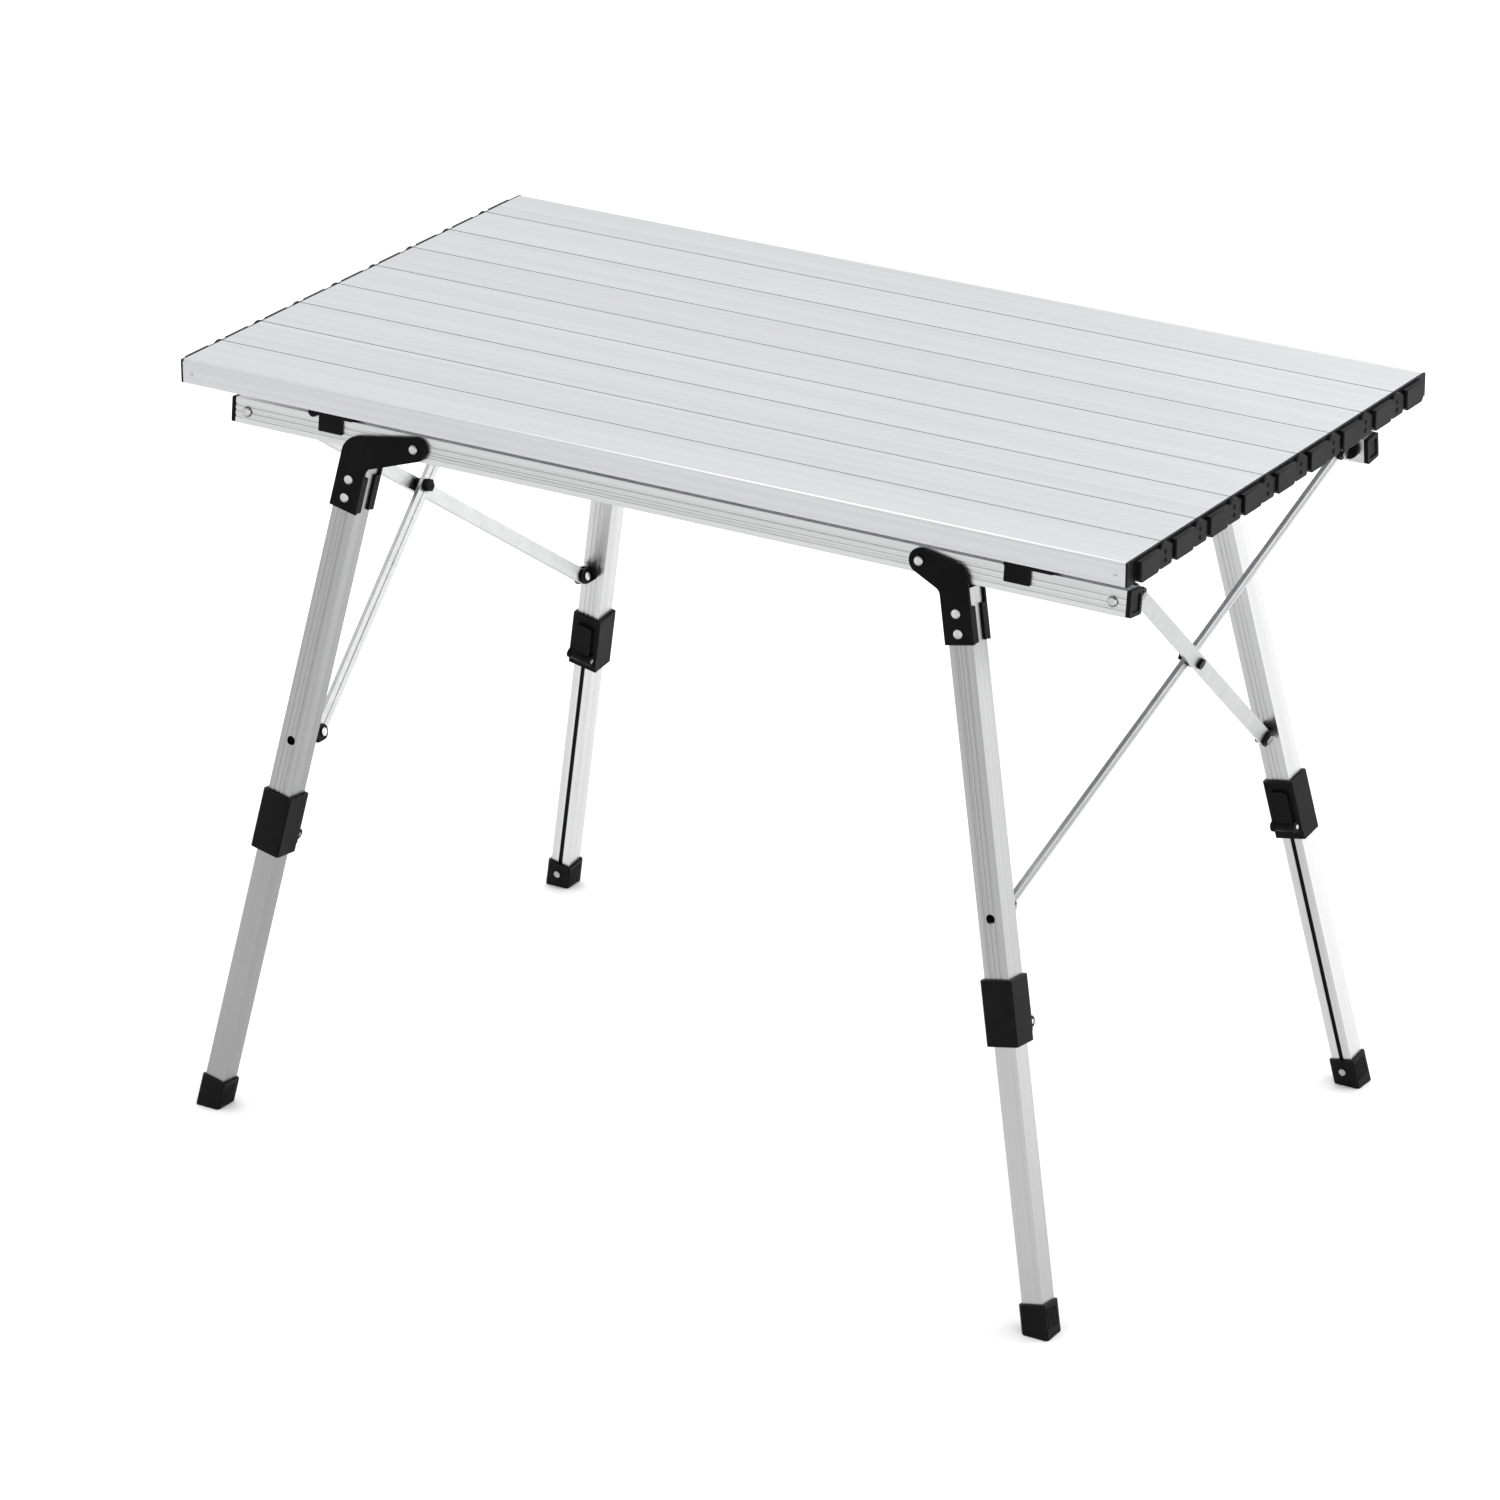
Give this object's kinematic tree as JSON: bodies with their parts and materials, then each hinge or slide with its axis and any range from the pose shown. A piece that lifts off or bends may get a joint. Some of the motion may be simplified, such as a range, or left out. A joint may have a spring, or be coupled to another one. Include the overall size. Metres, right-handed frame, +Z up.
{
  "type": "folding picnic table",
  "caption": "Folding table with a roll-up slatted aluminium top on two rails, splayed telescopic legs with clamp collars, and crossed brace bars at both ends.",
  "frame": {"origin": "on the floor, under the middle of the table top", "axes": "+X along the slats to the right, -Y to the front, +Z up"},
  "size_m": [0.91, 0.5788, 0.672],
  "materials": {
    "slat_aluminium": "brushed, satin anodised",
    "frame_aluminium": "extruded, anodised",
    "brace_steel": "satin",
    "bracket_black": "black powder coat",
    "end_plastic": "satin black",
    "fitting_plastic": "satin black"
  },
  "bodies": {
    "front_rail_frame": {"front_rail": "frame_aluminium", "front_rail_end_caps": "fitting_plastic", "front_rail_clips_and_rivets": "fitting_plastic"},
    "back_rail_frame": {"back_rail": "frame_aluminium", "back_rail_end_caps": "fitting_plastic", "back_rail_clips_and_rivets": "fitting_plastic"},
    "front_left_leg": {"front_left_leg_bracket": "bracket_black", "front_left_upper_tube": "frame_aluminium", "front_left_clamp_collar": "fitting_plastic"},
    "front_left_lower_leg": {"front_left_lower_tube": "frame_aluminium", "front_left_foot": "fitting_plastic"},
    "front_left_lever": {"front_left_clamp_lever": "fitting_plastic"},
    "front_right_leg": {"front_right_leg_bracket": "bracket_black", "front_right_upper_tube": "frame_aluminium", "front_right_clamp_collar": "fitting_plastic"},
    "front_right_lower_leg": {"front_right_lower_tube": "frame_aluminium", "front_right_foot": "fitting_plastic"},
    "front_right_lever": {"front_right_clamp_lever": "fitting_plastic"},
    "back_left_leg": {"back_left_leg_bracket": "bracket_black", "back_left_upper_tube": "frame_aluminium", "back_left_clamp_collar": "fitting_plastic"},
    "back_left_lower_leg": {"back_left_lower_tube": "frame_aluminium", "back_left_foot": "fitting_plastic"},
    "back_left_lever": {"back_left_clamp_lever": "fitting_plastic"},
    "back_right_leg": {"back_right_leg_bracket": "bracket_black", "back_right_upper_tube": "frame_aluminium", "back_right_clamp_collar": "fitting_plastic"},
    "back_right_lower_leg": {"back_right_lower_tube": "frame_aluminium", "back_right_foot": "fitting_plastic"},
    "back_right_lever": {"back_right_clamp_lever": "fitting_plastic"},
    "front_left_rail_clevis": {"front_left_rail_clevis": "fitting_plastic"},
    "left_brace_front": {"left_brace_bar_front": "brace_steel"},
    "back_left_leg_clevis": {"back_left_leg_clevis": "fitting_plastic"},
    "back_left_rail_clevis": {"back_left_rail_clevis": "fitting_plastic"},
    "left_brace_back": {"left_brace_bar_back": "brace_steel"},
    "front_left_leg_clevis": {"front_left_leg_clevis": "fitting_plastic"},
    "front_right_rail_clevis": {"front_right_rail_clevis": "fitting_plastic"},
    "right_brace_front": {"right_brace_bar_front": "brace_steel"},
    "back_right_leg_clevis": {"back_right_leg_clevis": "fitting_plastic"},
    "back_right_rail_clevis": {"back_right_rail_clevis": "fitting_plastic"},
    "right_brace_back": {"right_brace_bar_back": "brace_steel"},
    "front_right_leg_clevis": {"front_right_leg_clevis": "fitting_plastic"},
    "slat_1": {"slat_1": "slat_aluminium", "slat_1_ends": "end_plastic"},
    "slat_2": {"slat_2": "slat_aluminium", "slat_2_ends": "end_plastic"},
    "slat_3": {"slat_3": "slat_aluminium", "slat_3_ends": "end_plastic"},
    "slat_4": {"slat_4": "slat_aluminium", "slat_4_ends": "end_plastic"},
    "slat_5": {"slat_5": "slat_aluminium", "slat_5_ends": "end_plastic"},
    "slat_6": {"slat_6": "slat_aluminium", "slat_6_ends": "end_plastic"},
    "slat_7": {"slat_7": "slat_aluminium", "slat_7_ends": "end_plastic"},
    "slat_8": {"slat_8": "slat_aluminium", "slat_8_ends": "end_plastic"},
    "slat_9": {"slat_9": "slat_aluminium", "slat_9_ends": "end_plastic"}
  },
  "joints": [
    {"name": "back_rail_slide", "type": "slide", "parent": "front_rail_frame", "child": "back_rail_frame", "axis": [0, -1, 0], "range_m": [0, 0.1498]},
    {"name": "frame_fold", "type": "hinge", "parent": "front_rail_frame", "child": "front_left_leg", "pos_m": [-0.242, -0.2045, 0.6175], "axis": [-0.061, -0.9913, 0.1165], "range_deg": [0, 62]},
    {"name": "front_left_height", "type": "slide", "parent": "front_left_leg", "child": "front_left_lower_leg", "axis": [0.1994, 0.1143, 0.9732], "range_m": [0, 0.2]},
    {"name": "front_left_lever_turn", "type": "hinge", "parent": "front_left_leg", "child": "front_left_lever", "pos_m": [-0.37245, -0.23044, 0.25271], "axis": [-0.9799, 0.0233, 0.198], "range_deg": [0, 110]},
    {"name": "front_right_leg_fold", "type": "hinge", "parent": "front_rail_frame", "child": "front_right_leg", "pos_m": [0.242, -0.2045, 0.6175], "axis": [0.061, 0.9913, -0.1165], "range_deg": [0, 62.3]},
    {"name": "front_right_height", "type": "slide", "parent": "front_right_leg", "child": "front_right_lower_leg", "axis": [-0.1994, 0.1143, 0.9732], "range_m": [0, 0.2]},
    {"name": "front_right_lever_turn", "type": "hinge", "parent": "front_right_leg", "child": "front_right_lever", "pos_m": [0.34599, -0.23107, 0.24736], "axis": [-0.9799, -0.0233, -0.198], "range_deg": [0, 110]},
    {"name": "back_left_leg_fold", "type": "hinge", "parent": "back_rail_frame", "child": "back_left_leg", "pos_m": [-0.242, 0.2045, 0.6175], "axis": [0.061, -0.9913, -0.1165], "range_deg": [0, 62.3]},
    {"name": "back_left_height", "type": "slide", "parent": "back_left_leg", "child": "back_left_lower_leg", "axis": [0.1994, -0.1143, 0.9732], "range_m": [0, 0.2]},
    {"name": "back_left_lever_turn", "type": "hinge", "parent": "back_left_leg", "child": "back_left_lever", "pos_m": [-0.37245, 0.23044, 0.25271], "axis": [0.9799, 0.0233, -0.198], "range_deg": [0, 110]},
    {"name": "back_right_leg_fold", "type": "hinge", "parent": "back_rail_frame", "child": "back_right_leg", "pos_m": [0.242, 0.2045, 0.6175], "axis": [-0.061, 0.9913, 0.1165], "range_deg": [0, 62.3]},
    {"name": "back_right_height", "type": "slide", "parent": "back_right_leg", "child": "back_right_lower_leg", "axis": [-0.1994, -0.1143, 0.9732], "range_m": [0, 0.2]},
    {"name": "back_right_lever_turn", "type": "hinge", "parent": "back_right_leg", "child": "back_right_lever", "pos_m": [0.34599, 0.23107, 0.24736], "axis": [0.9799, -0.0233, 0.198], "range_deg": [0, 110]},
    {"name": "front_left_rail_clevis_turn", "type": "hinge", "parent": "front_rail_frame", "child": "front_left_rail_clevis", "pos_m": [-0.414, -0.18244, 0.6175], "axis": [0, -1, 0], "range_deg": [0, 47.11]},
    {"name": "left_brace_front_turn", "type": "hinge", "parent": "front_left_rail_clevis", "child": "left_brace_front", "pos_m": [-0.414, -0.18244, 0.6175], "axis": [-0.9776, 0, -0.2106], "range_deg": [0, 23.85]},
    {"name": "back_left_leg_clevis_turn", "type": "hinge", "parent": "left_brace_front", "child": "back_left_leg_clevis", "pos_m": [-0.35431, 0.21313, 0.34046], "axis": [0.9776, 0, 0.2106], "range_deg": [0, 23.85]},
    {"name": "back_left_rail_clevis_turn", "type": "hinge", "parent": "back_rail_frame", "child": "back_left_rail_clevis", "pos_m": [-0.414, 0.18244, 0.6175], "axis": [0, -1, 0], "range_deg": [0, 47.11]},
    {"name": "left_brace_back_turn", "type": "hinge", "parent": "back_left_rail_clevis", "child": "left_brace_back", "pos_m": [-0.414, 0.18244, 0.6175], "axis": [0.9776, 0, 0.2106], "range_deg": [0, 23.85]},
    {"name": "front_left_leg_clevis_turn", "type": "hinge", "parent": "left_brace_back", "child": "front_left_leg_clevis", "pos_m": [-0.35431, -0.21313, 0.34046], "axis": [-0.9776, 0, -0.2106], "range_deg": [0, 23.85]},
    {"name": "front_right_rail_clevis_turn", "type": "hinge", "parent": "front_rail_frame", "child": "front_right_rail_clevis", "pos_m": [0.414, -0.18244, 0.6175], "axis": [0, 1, 0], "range_deg": [0, 44.87]},
    {"name": "right_brace_front_turn", "type": "hinge", "parent": "front_right_rail_clevis", "child": "right_brace_front", "pos_m": [0.414, -0.18244, 0.6175], "axis": [-0.9565, 0, 0.2918], "range_deg": [0, 28.37]},
    {"name": "back_right_leg_clevis_turn", "type": "hinge", "parent": "right_brace_front", "child": "back_right_leg_clevis", "pos_m": [0.32785, 0.21376, 0.33512], "axis": [0.9565, 0, -0.2918], "range_deg": [0, 28.37]},
    {"name": "back_right_rail_clevis_turn", "type": "hinge", "parent": "back_rail_frame", "child": "back_right_rail_clevis", "pos_m": [0.414, 0.18244, 0.6175], "axis": [0, 1, 0], "range_deg": [0, 44.87]},
    {"name": "right_brace_back_turn", "type": "hinge", "parent": "back_right_rail_clevis", "child": "right_brace_back", "pos_m": [0.414, 0.18244, 0.6175], "axis": [0.9565, 0, -0.2918], "range_deg": [0, 28.37]},
    {"name": "front_right_leg_clevis_turn", "type": "hinge", "parent": "right_brace_back", "child": "front_right_leg_clevis", "pos_m": [0.32785, -0.21376, 0.33512], "axis": [-0.9565, 0, 0.2918], "range_deg": [0, 28.37]},
    {"name": "top_lift", "type": "slide", "parent": "front_rail_frame", "child": "slat_5", "axis": [0, 0, 1], "range_m": [0, 0.5]},
    {"name": "slat_6_roll", "type": "hinge", "parent": "slat_5", "child": "slat_6", "pos_m": [0, 0.0286, 0.6535], "axis": [-1, 0, 0], "range_deg": [0, 38.3]},
    {"name": "slat_7_roll", "type": "hinge", "parent": "slat_6", "child": "slat_7", "pos_m": [0, 0.0858, 0.6535], "axis": [-1, 0, 0], "range_deg": [0, 38.3]},
    {"name": "slat_8_roll", "type": "hinge", "parent": "slat_7", "child": "slat_8", "pos_m": [0, 0.143, 0.6535], "axis": [-1, 0, 0], "range_deg": [0, 38.3]},
    {"name": "slat_9_roll", "type": "hinge", "parent": "slat_8", "child": "slat_9", "pos_m": [0, 0.2002, 0.6535], "axis": [-1, 0, 0], "range_deg": [0, 38.3]},
    {"name": "slat_4_roll", "type": "hinge", "parent": "slat_5", "child": "slat_4", "pos_m": [0, -0.0286, 0.6535], "axis": [1, 0, 0], "range_deg": [0, 38.3]},
    {"name": "slat_3_roll", "type": "hinge", "parent": "slat_4", "child": "slat_3", "pos_m": [0, -0.0858, 0.6535], "axis": [1, 0, 0], "range_deg": [0, 38.3]},
    {"name": "slat_2_roll", "type": "hinge", "parent": "slat_3", "child": "slat_2", "pos_m": [0, -0.143, 0.6535], "axis": [1, 0, 0], "range_deg": [0, 38.3]},
    {"name": "slat_1_roll", "type": "hinge", "parent": "slat_2", "child": "slat_1", "pos_m": [0, -0.2002, 0.6535], "axis": [1, 0, 0], "range_deg": [0, 38.3]}
  ],
  "couplings": [
    {"joint": "back_rail_slide", "follows": "frame_fold", "m_per_rad": 0.13816},
    {"joint": "front_right_leg_fold", "follows": "frame_fold", "ratio": 1},
    {"joint": "back_left_leg_fold", "follows": "frame_fold", "ratio": 1},
    {"joint": "back_right_leg_fold", "follows": "frame_fold", "ratio": 1},
    {"joint": "front_left_rail_clevis_turn", "follows": "frame_fold", "ratio": 0.755},
    {"joint": "left_brace_front_turn", "follows": "frame_fold", "ratio": 0.37984},
    {"joint": "back_left_leg_clevis_turn", "follows": "frame_fold", "ratio": 0.37984},
    {"joint": "back_left_rail_clevis_turn", "follows": "frame_fold", "ratio": 0.755},
    {"joint": "left_brace_back_turn", "follows": "frame_fold", "ratio": 0.37984},
    {"joint": "front_left_leg_clevis_turn", "follows": "frame_fold", "ratio": 0.37984},
    {"joint": "front_right_rail_clevis_turn", "follows": "frame_fold", "ratio": 0.71887},
    {"joint": "right_brace_front_turn", "follows": "frame_fold", "ratio": 0.45274},
    {"joint": "back_right_leg_clevis_turn", "follows": "frame_fold", "ratio": 0.45274},
    {"joint": "back_right_rail_clevis_turn", "follows": "frame_fold", "ratio": 0.71887},
    {"joint": "right_brace_back_turn", "follows": "frame_fold", "ratio": 0.45274},
    {"joint": "front_right_leg_clevis_turn", "follows": "frame_fold", "ratio": 0.45274},
    {"joint": "slat_6_roll", "follows": "top_lift", "rad_per_m": 1.3264},
    {"joint": "slat_7_roll", "follows": "top_lift", "rad_per_m": 1.3264},
    {"joint": "slat_8_roll", "follows": "top_lift", "rad_per_m": 1.3264},
    {"joint": "slat_9_roll", "follows": "top_lift", "rad_per_m": 1.3264},
    {"joint": "slat_4_roll", "follows": "top_lift", "rad_per_m": 1.3264},
    {"joint": "slat_3_roll", "follows": "top_lift", "rad_per_m": 1.3264},
    {"joint": "slat_2_roll", "follows": "top_lift", "rad_per_m": 1.3264},
    {"joint": "slat_1_roll", "follows": "top_lift", "rad_per_m": 1.3264}
  ]
}
